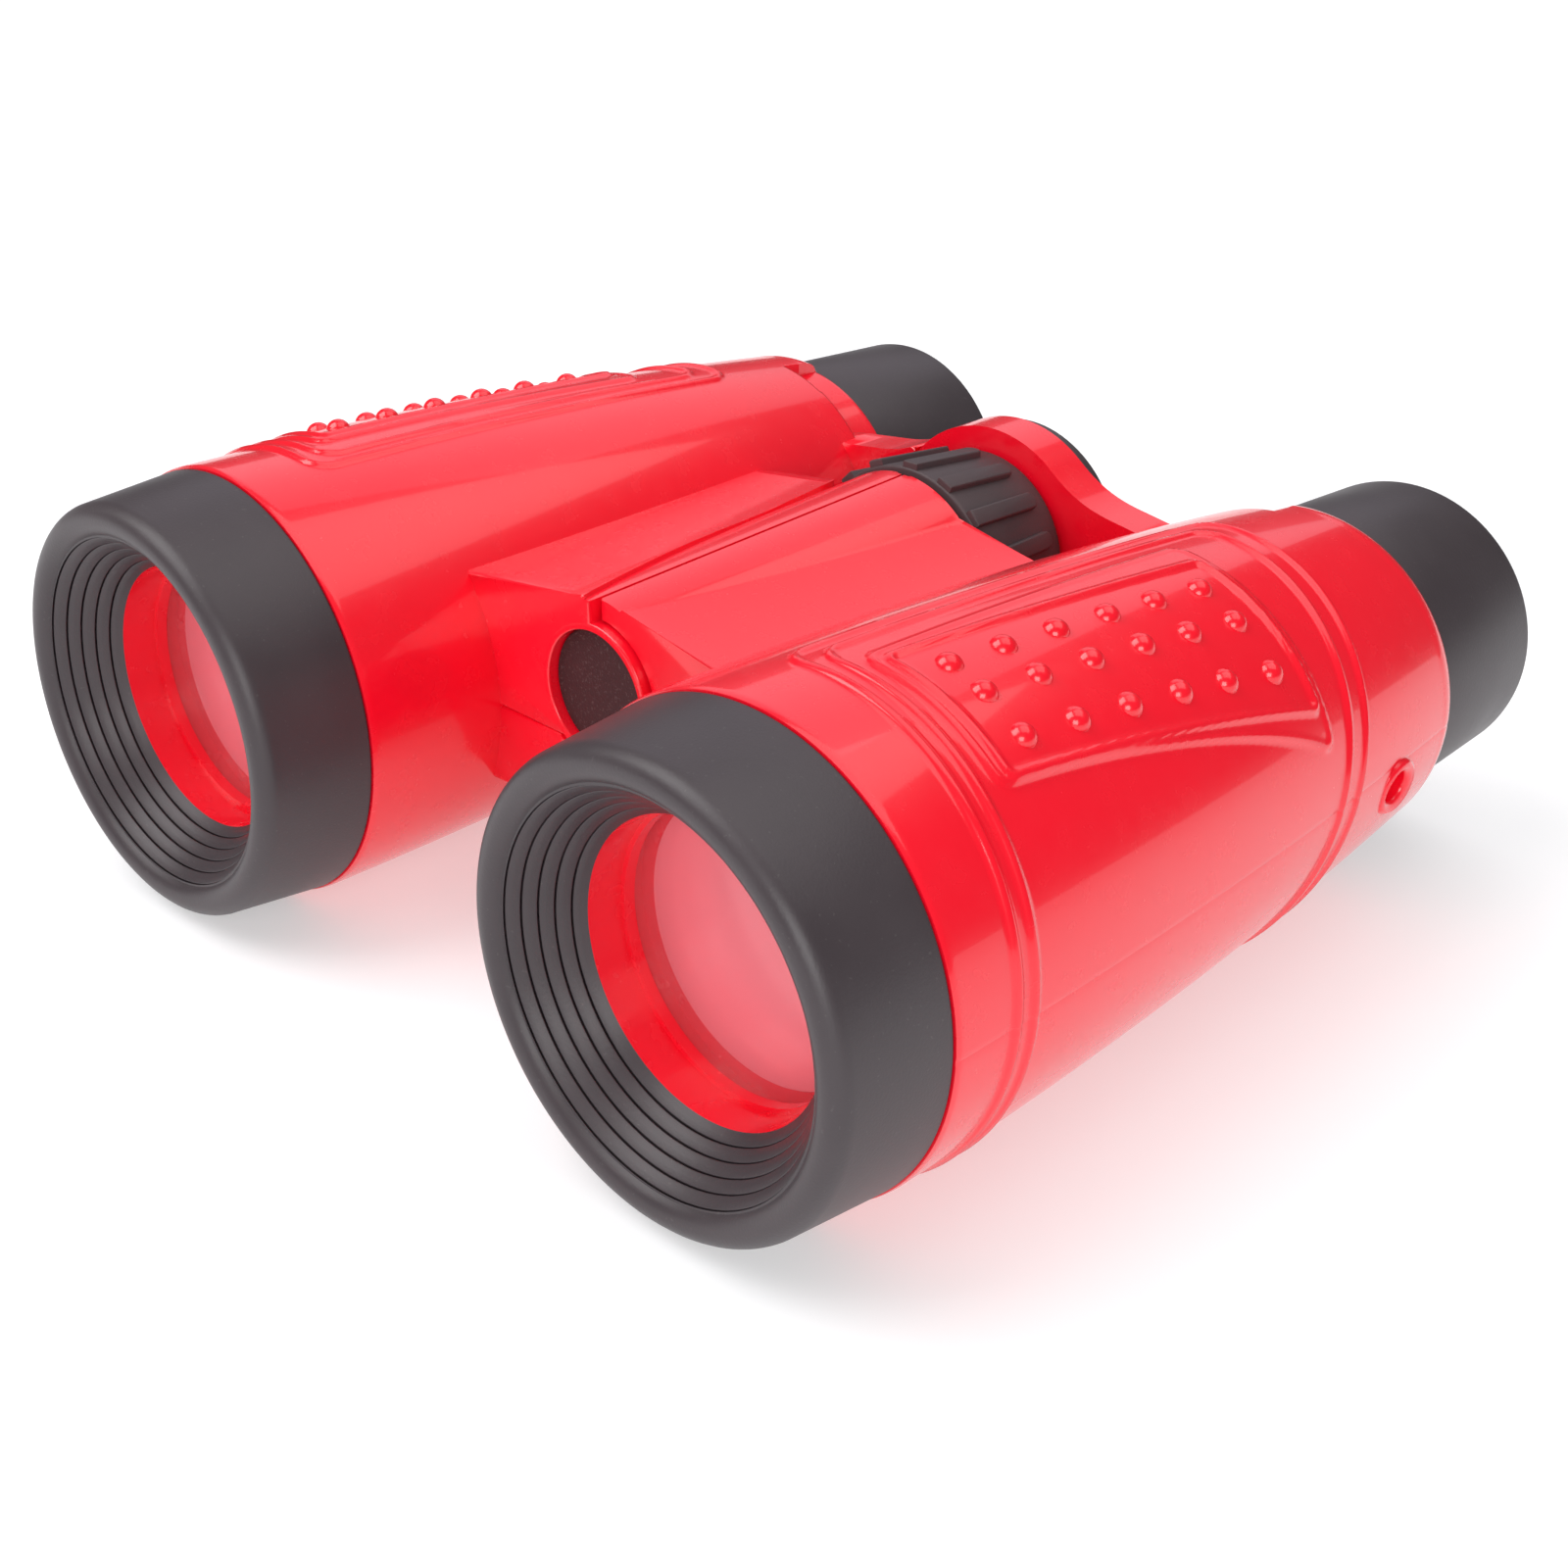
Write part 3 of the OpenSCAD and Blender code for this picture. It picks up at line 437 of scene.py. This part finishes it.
def barrelShell(bm, down):  # upper or lower half of a barrel around its own axis
    outside = [(casingR(y), y) for y in span(0, barrel["length"], barrel["rows"])]
    steps = barrel["lowerSteps" if down else "upperSteps"]
    turned(bm, outside + casingInside(), steps, pi, down)
    for vert in bm.verts:
        x, y, z = vert.co
        r = hypot(x, z)
        if not 0 <= y <= barrel["length"] - 0.01 or abs(r - casingR(y)) > 0.02:
            continue
        angle = acos(max(-1, min(1, x / r))) * (-1 if down else 1)
        rearLean, frontLean = frameLine["rearLean"] * r, frameLine["frontLean"]
        y += rearLean * sin(angle) * smooth(30, 54, y) * (1 - smooth(66, 81, y))  # rows lean with the lines
        y += frontLean * sin(angle) * smooth(1, 6, y) * (1 - smooth(14, 26, y))
        vert.co *= casingR(y) / r
        vert.co.y = y
        r = casingR(y)
        lift = frameRelief(r, y, angle) + panelRelief(r, y, angle)
        if x > 0:
            lift -= seamLine["depth"] * (1 - smooth(seamLine["from"], seamLine["to"], abs(z)))
        lift -= frontEdge["depth"] * (1 - smooth(0.0, frontEdge["over"], y))
        if notch["from"] < degrees(angle) % 360 < notch["to"] and y > notch["y"]:
            lift = min(lift, notch["r"] - r)
        vert.co.x *= (r + lift) / r
        vert.co.z *= (r + lift) / r
    rims = [e for e in bm.edges if e.is_boundary]
    bmesh.ops.triangle_fill(bm, edges=rims, use_beauty=True)


strap = {"y": 72.3, "tilt": 98, "bore": 1.7, "floor": 16.2, "cut": 2.3}


def strapHole(bm):  # sunk hole for the neck strap, below the seam
    spot = Vector((0, strap["y"], 0))
    tilt = Matrix.Translation(spot) @ Matrix.Rotation(radians(strap["tilt"]), 4, "Y")
    bore = strap["bore"]
    hole = bmesh.new()
    turned(hole, [(bore, 15.9), (bore, 19.9, 0.3), (2.6, 20.35), (3.1, 20.0), (3.1, 15.9)], 32)
    bmesh.ops.transform(hole, matrix=tilt @ Matrix.Rotation(radians(90), 4, "X"), verts=hole.verts)
    bottom = tilt @ Matrix.Translation((0, 0, strap["floor"]))
    bmesh.ops.create_circle(hole, cap_ends=True, radius=bore + 0.05, segments=32, matrix=bottom)
    axis = (tilt.to_3x3() @ Vector((0, 0, 1))).normalized()
    gone = []
    for face in bm.faces:
        away = face.calc_center_median() - spot
        along = away.dot(axis)
        if along > 15 and (away - axis * along).length < strap["cut"]:
            gone.append(face)
    bmesh.ops.delete(bm, geom=gone, context="FACES")
    join(bm, hole)


def studs(bm):
    first, last = stud["places"][0], stud["places"][-1]
    for start, end in stud["rows"]:
        for y in stud["places"]:
            dx = start + (end - start) * (y - first) / (last - first)
            r = casingR(y) + panel["lift"] + 0.1
            angle = acos(dx / r)
            out = casingR(y) + panel["lift"] - stud["sink"]
            ball = bmesh.ops.create_uvsphere(bm, u_segments=20, v_segments=12, radius=stud["r"])
            bmesh.ops.translate(bm, verts=ball["verts"], vec=(out * cos(angle), y, out * sin(angle)))


# Bridge, arch and hinge parts, drawn on the right
bridgeSet = {
    "leftFront": 16.2, "rightFront": 17.2, "bore": 7.95, "rimBore": 7.4, "edge": 0.35,
    "underX": 10.5, "underZ": -9, "stripRise": 0.4, "stripStart": 1, "stripGrowth": 9.2, "stripOver": 45.4,
}
screws = {"x": 13.2, "places": (24.9, 53.9), "headR": 2.0, "shankR": 1.25, "floor": 6.8}


def creaseX(y):  # where the tube meets the plate
    r = tubeR(y)
    rise, slope = plate["z"] - hinge["z"], plate["slope"]
    half = rise * slope
    lean = 1 + slope * slope
    return (half + sqrt(half * half - lean * (rise ** 2 - r * r))) / lean


def plateEnd(r, rise):  # where the plate runs into a circle round the barrel's axis
    x = 18.0
    for step in range(20):
        x = barrel["x"] - sqrt(r * r - (plateZ(x) + rise) ** 2)
    return x


def bridgeTop(y, inner, strip):
    r, axis, seam = tubeR(y), hinge["z"], hinge["seam"]
    crease = edge = creaseX(y)
    rise = 0
    if strip:
        rise = bridgeSet["stripRise"]
        share = (y - bridgeSet["leftFront"]) / bridgeSet["stripOver"]
        edge = bridgeSet["stripStart"] + bridgeSet["stripGrowth"] * share
    points = arc(0, axis, r, degrees(acos(seam / r)), degrees(acos(edge / r)), 14)
    if strip:
        for x in span(edge + 0.12, max(crease, edge + 0.3) + 0.2, 8):
            points.append((x, max(axis + sqrt(max(0, r * r - x * x)), plateZ(x)) + rise))
    wallR = casingR(y) - barrel["sink"]
    end = plateEnd(wallR, rise)
    points.append((end, plateZ(end) + rise))
    low = degrees(asin(points[-1][1] / wallR))
    points += arc(barrel["x"], 0, wallR, 180 - low, 180, 8)[1:]
    return points + arc(0, axis, inner, degrees(asin(-axis / inner)), degrees(acos(seam / inner)), 14)


def bridgeUnder(y, inner):
    wallR = casingR(y) - barrel["sink"]
    low = degrees(asin(-bridgeSet["underZ"] / wallR))
    return (
        arc(0, hinge["z"], inner, -55, degrees(asin(-hinge["z"] / inner)), 4)
        + arc(barrel["x"], 0, wallR, 180, 180 + low, 8) + [(bridgeSet["underX"], bridgeSet["underZ"])]
    )


def bridge(bm, start, strip, under):
    wall, rear, bore = barrel["wall"], hinge["rear"], bridgeSet["bore"]
    front = bridgeSet["rimBore"] if strip else bore  # the left half carries the rim
    stations = [(start, front), (start + wall, front)]
    for y in span(start + wall + 0.01, rear - wall - 0.01, 10):
        stations.append((y, tubeR(y) - hinge["wall"]))
    stations += [(rear - wall, bore), (rear, bore)]
    part = bmesh.new()
    if under:
        loft(part, [(y, bridgeUnder(y, inner)) for y, inner in stations])
    else:
        loft(part, [(y, bridgeTop(y, inner, strip)) for y, inner in stations])
    edges = [
        e for e in part.edges
        if any(all(abs(v.co.y - end) < 1e-4 for v in e.verts) for end in (start, rear))
        and not all(hypot(v.co.x, v.co.z - hinge["z"]) < bore + 0.25 for v in e.verts)
    ]
    rounded(part, edges, bridgeSet["edge"], 3)
    if under:
        screwWells(part)
    join(bm, part)


def screwWells(part):  # sunk wells for the two screws under the bridge
    low, r = bridgeSet["underZ"], screws["headR"]
    flat = [f for f in part.faces if all(abs(v.co.z - low) < 1e-4 for v in f.verts)]
    bmesh.ops.delete(part, geom=flat, context="FACES")
    rims = [e for e in part.edges if e.is_boundary]
    for y in screws["places"]:
        spot = Matrix.Translation((screws["x"], y, low))
        bmesh.ops.create_circle(part, cap_ends=False, radius=r, segments=32, matrix=spot)
    rims += [e for e in part.edges if e.is_wire]
    bmesh.ops.triangle_fill(part, edges=rims, use_beauty=True)
    for y in screws["places"]:
        well = bmesh.new()
        turned(well, [(screws["shankR"], screws["floor"]), (r, screws["floor"]), (r, -low)], 32, closed=False)
        spot = Matrix.Translation((screws["x"], y, 0))
        join(part, well, spot @ Matrix.Rotation(radians(-90), 4, "X"))


foot = {
    "front": 76.65, "rear": 81.95, "edge": 0.55, "archR": 14, "ledgeR": 14.35, "endR": 17.0, "under": 6,
    "dip": 2.31, "dipFrom": 8.62, "dipOver": 8.88, "dipEnd": 17.3, "bend": 2.46, "flat": (18.8, 24.8),
}


def footCurve(start):  # hollow curve from the arch down to the barrel
    curve = []
    for x in span(start, foot["dipEnd"], 10):
        dip = foot["dip"] * (1 - (x - foot["dipFrom"]) / foot["dipOver"]) ** foot["bend"]
        curve.append((x, plateZ(x) + dip))
    return curve + [(x, plateZ(x)) for x in span(*foot["flat"], 4)]


def footEnd(upper):  # runs on below the floor of the notch
    r = foot["endR"]
    if upper:
        low = degrees(asin(plateZ(plateEnd(r, 0)) / r))
        return arc(barrel["x"], 0, r, 180 - low, 180, 8)
    return arc(barrel["x"], 0, r, 180 + degrees(asin(foot["under"] / r)), 180, 6)


def archShape(upper):
    ring = (0, hinge["z"], foot["archR"])
    if upper:
        return arc(*ring, 205.4, 52, 44) + footCurve(9.1) + footEnd(True)
    return arc(*ring, 205.4, 301, 30) + footEnd(False)


def ledgeShape(upper):
    ring = (0, hinge["z"], foot["ledgeR"])
    if upper:
        return arc(*ring, -24.7, 39.5, 16) + footCurve(11.6) + footEnd(True)
    return arc(*ring, -56.7, -24.7, 8) + footEnd(False)[::-1]


def rearFoot(bm, shape):
    part = bmesh.new()
    loft(part, [(foot["front"], shape), (foot["rear"], shape)])
    edges = [
        e for e in part.edges
        if abs(e.verts[0].co.y - e.verts[1].co.y) < 1e-4 and not all(abs(v.co.z) < 1e-4 for v in e.verts)
    ]
    rounded(part, edges, foot["edge"], 4)
    join(bm, part)


rim = {"inner": 6.72, "outer": 7.6, "floor": 17.9, "rear": 18.4}
tongue = {"front": 19.2, "rear": 59.6, "inner": 2.9, "outer": 1.7, "turn": -70}
knuckles = {"left": ((17.8, 30.55), (43.35, 61.6)), "right": ((30.9, 43.0),)}


def hingeTurned(bm, points):
    part = bmesh.new()
    turned(part, points, 64)
    join(bm, part, Matrix.Translation((0, 0, hinge["z"])))


def knuckle(bm, y0, y1):
    bore, r = hinge["bore"], hinge["knuckleR"]
    hingeTurned(bm, [(bore, y0), (r, y0, 0.3), (r, y1, 0.3), (bore, y1)])
    rib = bmesh.new()
    block = Matrix.Translation((6.6, (y0 + y1) / 2, 4.77)) @ Matrix.Diagonal((5, y1 - y0, 4, 1))
    bmesh.ops.create_cube(rib, size=1, matrix=block)
    join(bm, rib)


def hingeRim(bm):  # seat of the front plug
    front, bore = bridgeSet["leftFront"], hinge["bore"]
    hingeTurned(bm, [
        (rim["inner"], front, 0.2), (rim["outer"], front, 0.25), (rim["outer"], rim["rear"]),
        (bore, rim["rear"]), (bore, rim["floor"]), (rim["inner"], rim["floor"]),
    ])


def hingeTongue(bm):  # closes the seam from inside at every fold
    points = []
    for y, depths in ((tongue["front"], ("inner", "outer")), (tongue["rear"], ("outer", "inner"))):
        points += [(tubeR(y) - tongue[depth], y) for depth in depths]
    part = bmesh.new()
    turned(part, points, 24, radians(90))
    turn = Matrix.Rotation(radians(tongue["turn"]), 4, "Y")
    join(bm, part, Matrix.Translation((0, 0, hinge["z"])) @ turn)


def halfShell(name, side, node, under):
    left = side == "left"
    bm = bmesh.new()
    part = bmesh.new()
    barrelShell(part, under)
    if under:
        strapHole(part)
    else:
        balls = bmesh.new()
        studs(balls)
        join(part, balls)
    join(bm, part, Matrix.Translation((barrel["x"], 0, 0)))
    bridge(bm, bridgeSet[side + "Front"], left and not under, under)
    rearFoot(bm, (ledgeShape if left else archShape)(not under))
    if not under:
        for y0, y1 in knuckles[side]:
            knuckle(bm, y0, y1)
    if left and not under:
        hingeRim(bm)
        hingeTongue(bm)
    finishPiece(bm, name, side + "_half", [node], redPlastic, left, 38, True)


for side in ("left", "right"):
    halfShell(side + "UpperShell", side, side + "_upper_shell", False)
    halfShell(side + "LowerShell", side, side + "_lower_shell", True)
print("shells built")


# Pieces turned round the barrel axis
objectiveRing = {
    "rear": 23.0, "front": 22.1, "bore": 20.45, "lip": 3.6, "lipRise": 1.9, "length": 12.1, "seam": 0.05,
    "aperture": 14.15, "apertureAt": -5.3, "grooves": 5, "edge": 0.06,
    "groove": ((0.0, 0.0), (0.06, 0.6), (0.13, 0.05), (0.5, 0.0)),  # share of a step, depth
}
objectiveLens = {"clearR": 13.6, "r": 15.2, "front": -0.25, "rear": 1.95, "rise": -1}
eyecup = [
    (15.35, 78.2, 0.3), (15.35, 85.2), (16.9, 85.2, 0.25), (16.1, 106.0, 0.9), (14.2, 106.0, 0.6),
    (12.0, 97.0, 0.4), (6.5, 97.0, 0.3), (6.5, 95.8), (7.55, 95.8), (7.55, 92.0), (9.15, 92.0),
    (9.15, 94.6), (13.75, 94.6), (13.75, 78.2, 0.2),
]
eyeLens = {"clearR": 6.4, "r": 7.5, "front": 93.2, "rear": 95.8, "rise": 0.7}
lensRetainer = [(6.5, 92.0, 0.15), (7.5, 92.0, 0.15), (7.5, 93.2), (6.5, 93.2)]


def ringProfile():
    ring = objectiveRing
    lipY = ring["lipRise"] - ring["length"]
    half = ring["lip"] / 2
    points = [
        (ring["bore"], ring["apertureAt"]), (ring["bore"], -ring["seam"], 0.15),
        (ring["rear"], -ring["seam"], 0.3),
    ]
    for a in span(0, 150, 14):
        r = ring["front"] - half + half * cos(radians(a))
        points.append((r, lipY - ring["lipRise"] * sin(radians(a))))
    start = Vector((ring["front"] - ring["lip"], lipY - ring["lipRise"] / 2))
    run = Vector((ring["aperture"], ring["apertureAt"])) - start
    out = Vector((run.y, -run.x)).normalized()
    for i in range(ring["grooves"]):
        for share, deep in ring["groove"]:
            p = start + run * ((i + share) / ring["grooves"]) + out * deep
            points.append((p.x, p.y, ring["edge"]))
    return points + [(ring["aperture"], ring["apertureAt"])]


def dome(r, y, rise):
    return [(r * share, y + rise * (1 - share ** 2)) for share in span(0, 1, 10)]


def objectiveProfile():
    lens = objectiveLens
    edge = [(lens["r"], lens["front"]), (lens["r"], lens["rear"]), (0, lens["rear"])]
    return dome(lens["clearR"], lens["front"], lens["rise"]) + edge


def eyeProfile():
    lens = eyeLens
    rear = dome(lens["clearR"], lens["rear"], -lens["rise"])[::-1]
    edge = [(lens["r"], lens["front"]), (lens["r"], lens["rear"])]
    return dome(lens["clearR"], lens["front"], lens["rise"]) + edge + rear


def onBarrel(name, side, points, material, node, steps=128):
    bm = bmesh.new()
    turned(bm, points, steps)
    bmesh.ops.translate(bm, verts=bm.verts, vec=(barrel["x"], 0, 0))
    finishPiece(bm, name, side + "_half", [side + "_" + node], material, side == "left")


for side in ("left", "right"):
    onBarrel(side + "ObjectiveRing", side, ringProfile(), blackPlastic, "objective_ring", 160)
    onBarrel(side + "ObjectiveLens", side, objectiveProfile(), clearLens, "objective_lens")
    onBarrel(side + "EyepieceCup", side, eyecup, blackPlastic, "eyepiece_cup")
    onBarrel(side + "EyeLens", side, eyeProfile(), clearLens, "eye_lens", 64)
    onBarrel(side + "LensRetainer", side, lensRetainer, blackPlastic, "lens_retainer", 64)
print("barrel fittings built")


# Pieces turned round the hinge axis
plug = [(0, 17.3), (6.65, 17.3, 0.25), (6.65, 18.8), (0, 18.8)]
rearCap = [
    (0, 83.75), (4.75, 83.75), (4.75, 79.95), (5.55, 79.95), (5.55, 81.95), (13.4, 81.95, 0.2),
    (13.4, 84.35, 0.9), (0, 84.35),
]
wheel = {
    "start": 62.3, "width": 14, "front": 12.7, "rear": 11.4, "hub": 6.5, "hollow": 9.7, "floor": 65.8,
    "ribs": 16, "ribWidth": 2.0, "ribLength": 11.5, "ribHeight": 0.7, "ribBack": 0.15,
}


def onHinge(name, body, points, material, node, extra=None):
    bm = bmesh.new()
    turned(bm, points, 96)
    if extra:
        extra(bm)
    bmesh.ops.translate(bm, verts=bm.verts, vec=(0, 0, hinge["z"]))
    finishPiece(bm, name, body, [node], material, sharp=40)


def wheelProfile():
    start, end, bore = wheel["start"], wheel["start"] + wheel["width"], hinge["bore"]
    return [
        (bore, start), (wheel["hub"], start, 0.3), (wheel["hub"], wheel["floor"]),
        (wheel["hollow"], wheel["floor"]), (wheel["hollow"], start, 0.3), (wheel["front"], start, 0.4),
        (wheel["rear"], end, 0.6), (bore, end),
    ]


def wheelRibs(bm):
    lean = (wheel["front"] - wheel["rear"]) / wheel["width"]
    block = Matrix.Diagonal((wheel["ribWidth"], wheel["ribLength"], 2, 1))
    for i in range(wheel["ribs"]):
        rib = bmesh.new()
        bmesh.ops.create_cube(rib, size=1)
        bmesh.ops.transform(rib, matrix=block, verts=rib.verts)
        upright = [e for e in rib.edges if abs(e.verts[0].co.z - e.verts[1].co.z) > 1 and e.verts[0].co.y > 0]
        rounded(rib, upright, 0.9, 4)
        top = [e for e in rib.edges if all(v.co.z > 0.9 for v in e.verts)]
        rounded(rib, top, 0.28, 3)
        for vert in rib.verts:
            along = vert.co.y + wheel["ribLength"] / 2
            vert.co.z += wheel["front"] + wheel["ribHeight"] - 1 - lean * along
            vert.co.y = wheel["start"] + along + wheel["ribBack"]
        join(bm, rib, Matrix.Rotation(2 * pi * i / wheel["ribs"], 4, "Y"))


onHinge("frontHingePlug", "left_half", plug, plugPlastic, "front_hinge_plug")
onHinge("rearHingeCap", "right_half", rearCap, blackPlastic, "rear_hinge_cap")
onHinge("focusWheel", "wheel", wheelProfile(), wheelPlastic, "focus_wheel", wheelRibs)
print("hinge pieces built")

# Fasteners keep their drawn shape
for node in ("left_shell_screws", "right_shell_screws", "hinge_bolt", "hinge_washer", "hinge_nut"):
    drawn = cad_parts[node]
    drawn.data.materials.clear()
    drawn.data.materials.append(steel)


# Stage, light and camera
lights = {  # place, aim, size, power, colour
    "keyLight": ((-0.35, -0.45, 0.75), (0, 0, 0.02), (0.7, 0.7), 6.2, (1, 1, 1)),
    "topLight": ((0.15, 0.25, 0.85), (0, 0, 0.02), (0.8, 0.8), 2.6, (1, 1, 1)),
    "frontLight": ((0.55, -0.6, 0.35), (0.03, -0.03, 0.02), (0.5, 0.4), 3.2, (1, 1, 1)),
    "backLight": ((-0.85, 0.95, 0.95), (0, 0, 0.02), (1.4, 1.1), 3.3, (0.93, 0.90, 1.0)),
}
view = {"place": (0.14995, -0.15971, 0.12023), "turn": 43.812, "tilt": 62.999, "roll": 1.068, "lens": 50.63}
paper = {"size": 3, "glowRiseFrom": 0.5, "glowNear": (0.42, 0.42, 0.42, 1), "far": (0.8, 0.8, 0.8, 1)}
fill = {"soft": 0.42, "glossyLess": 0.34}

for name, (place, aim, size, power, colour) in lights.items():
    data = bpy.data.lights.new(name, "AREA")
    data.shape = "RECTANGLE"
    data.size, data.size_y = size
    data.energy = power
    data.color = colour
    lamp = bpy.data.objects.new(name, data)
    lamp.location = place
    lamp.rotation_euler = (Vector(aim) - Vector(place)).to_track_quat("-Z", "Y").to_euler()
    bpy.context.collection.objects.link(lamp)

floorMesh = bmesh.new()
bmesh.ops.create_grid(floorMesh, x_segments=1, y_segments=1, size=paper["size"])
floorData = bpy.data.meshes.new("floor")
floorMesh.to_mesh(floorData)
floorMesh.free()
floor = bpy.data.objects.new("floor", floorData)
bpy.context.collection.objects.link(floor)
# The floor glows as painted light: weaker near the object so a faint shadow stays, and stronger further out
# so the ground reads white
floorLook = Look("glowingFloorCard")
floorCloud = floorLook.noise(3, 2)
floorAway = floorLook.node("ShaderNodeVectorMath", {"operation": "LENGTH"}, 1, Vector=floorLook.place)
floorData.materials.append(floorLook.paint(
    Base_Color=floorLook.mix(floorCloud, (0.62, 0.62, 0.63, 1), (0.60, 0.60, 0.61, 1)),
    Roughness=0.85 + floorCloud * 0.1,
    # painted light: floor glow that rises with distance from the object
    Emission_Color=floorLook.mix(floorAway - paper["glowRiseFrom"], paper["glowNear"], paper["far"]),
    Emission_Strength=1.0,
    Specular_IOR_Level=0.1,
))

world = bpy.data.worlds.new("studio")
bpy.context.scene.world = world
world.use_nodes = True
sky = world.node_tree
sky.nodes.clear()
path = sky.nodes.new("ShaderNodeLightPath")
seen = Sock(sky, path.outputs["Is Camera Ray"]) + Sock(sky, path.outputs["Is Transmission Ray"])
ambient = fill["soft"] - Sock(sky, path.outputs["Is Glossy Ray"]) * fill["glossyLess"]
backdrop = sky.nodes.new("ShaderNodeBackground")
backdrop.inputs["Color"].default_value = (1, 1, 1, 1)
strength = seen.maths("MAXIMUM", seen, ambient)
sky.links.new(strength.maths("MINIMUM", strength, 1.0).socket, backdrop.inputs["Strength"])
skyOut = sky.nodes.new("ShaderNodeOutputWorld")
sky.links.new(backdrop.outputs[0], skyOut.inputs["Surface"])

camera = bpy.data.objects.new("camera", bpy.data.cameras.new("camera"))
bpy.context.collection.objects.link(camera)
camera.matrix_world = (
    Matrix.Translation(view["place"]) @ Matrix.Rotation(radians(view["turn"]), 4, "Z")
    @ Matrix.Rotation(radians(view["tilt"]), 4, "X") @ Matrix.Rotation(radians(view["roll"]), 4, "Z")
)
camera.data.lens = view["lens"]
camera.data.sensor_width = 36
camera.data.clip_start = 0.005
bpy.context.scene.camera = camera
bpy.context.scene.view_settings.view_transform = "Standard"
print("stage set")
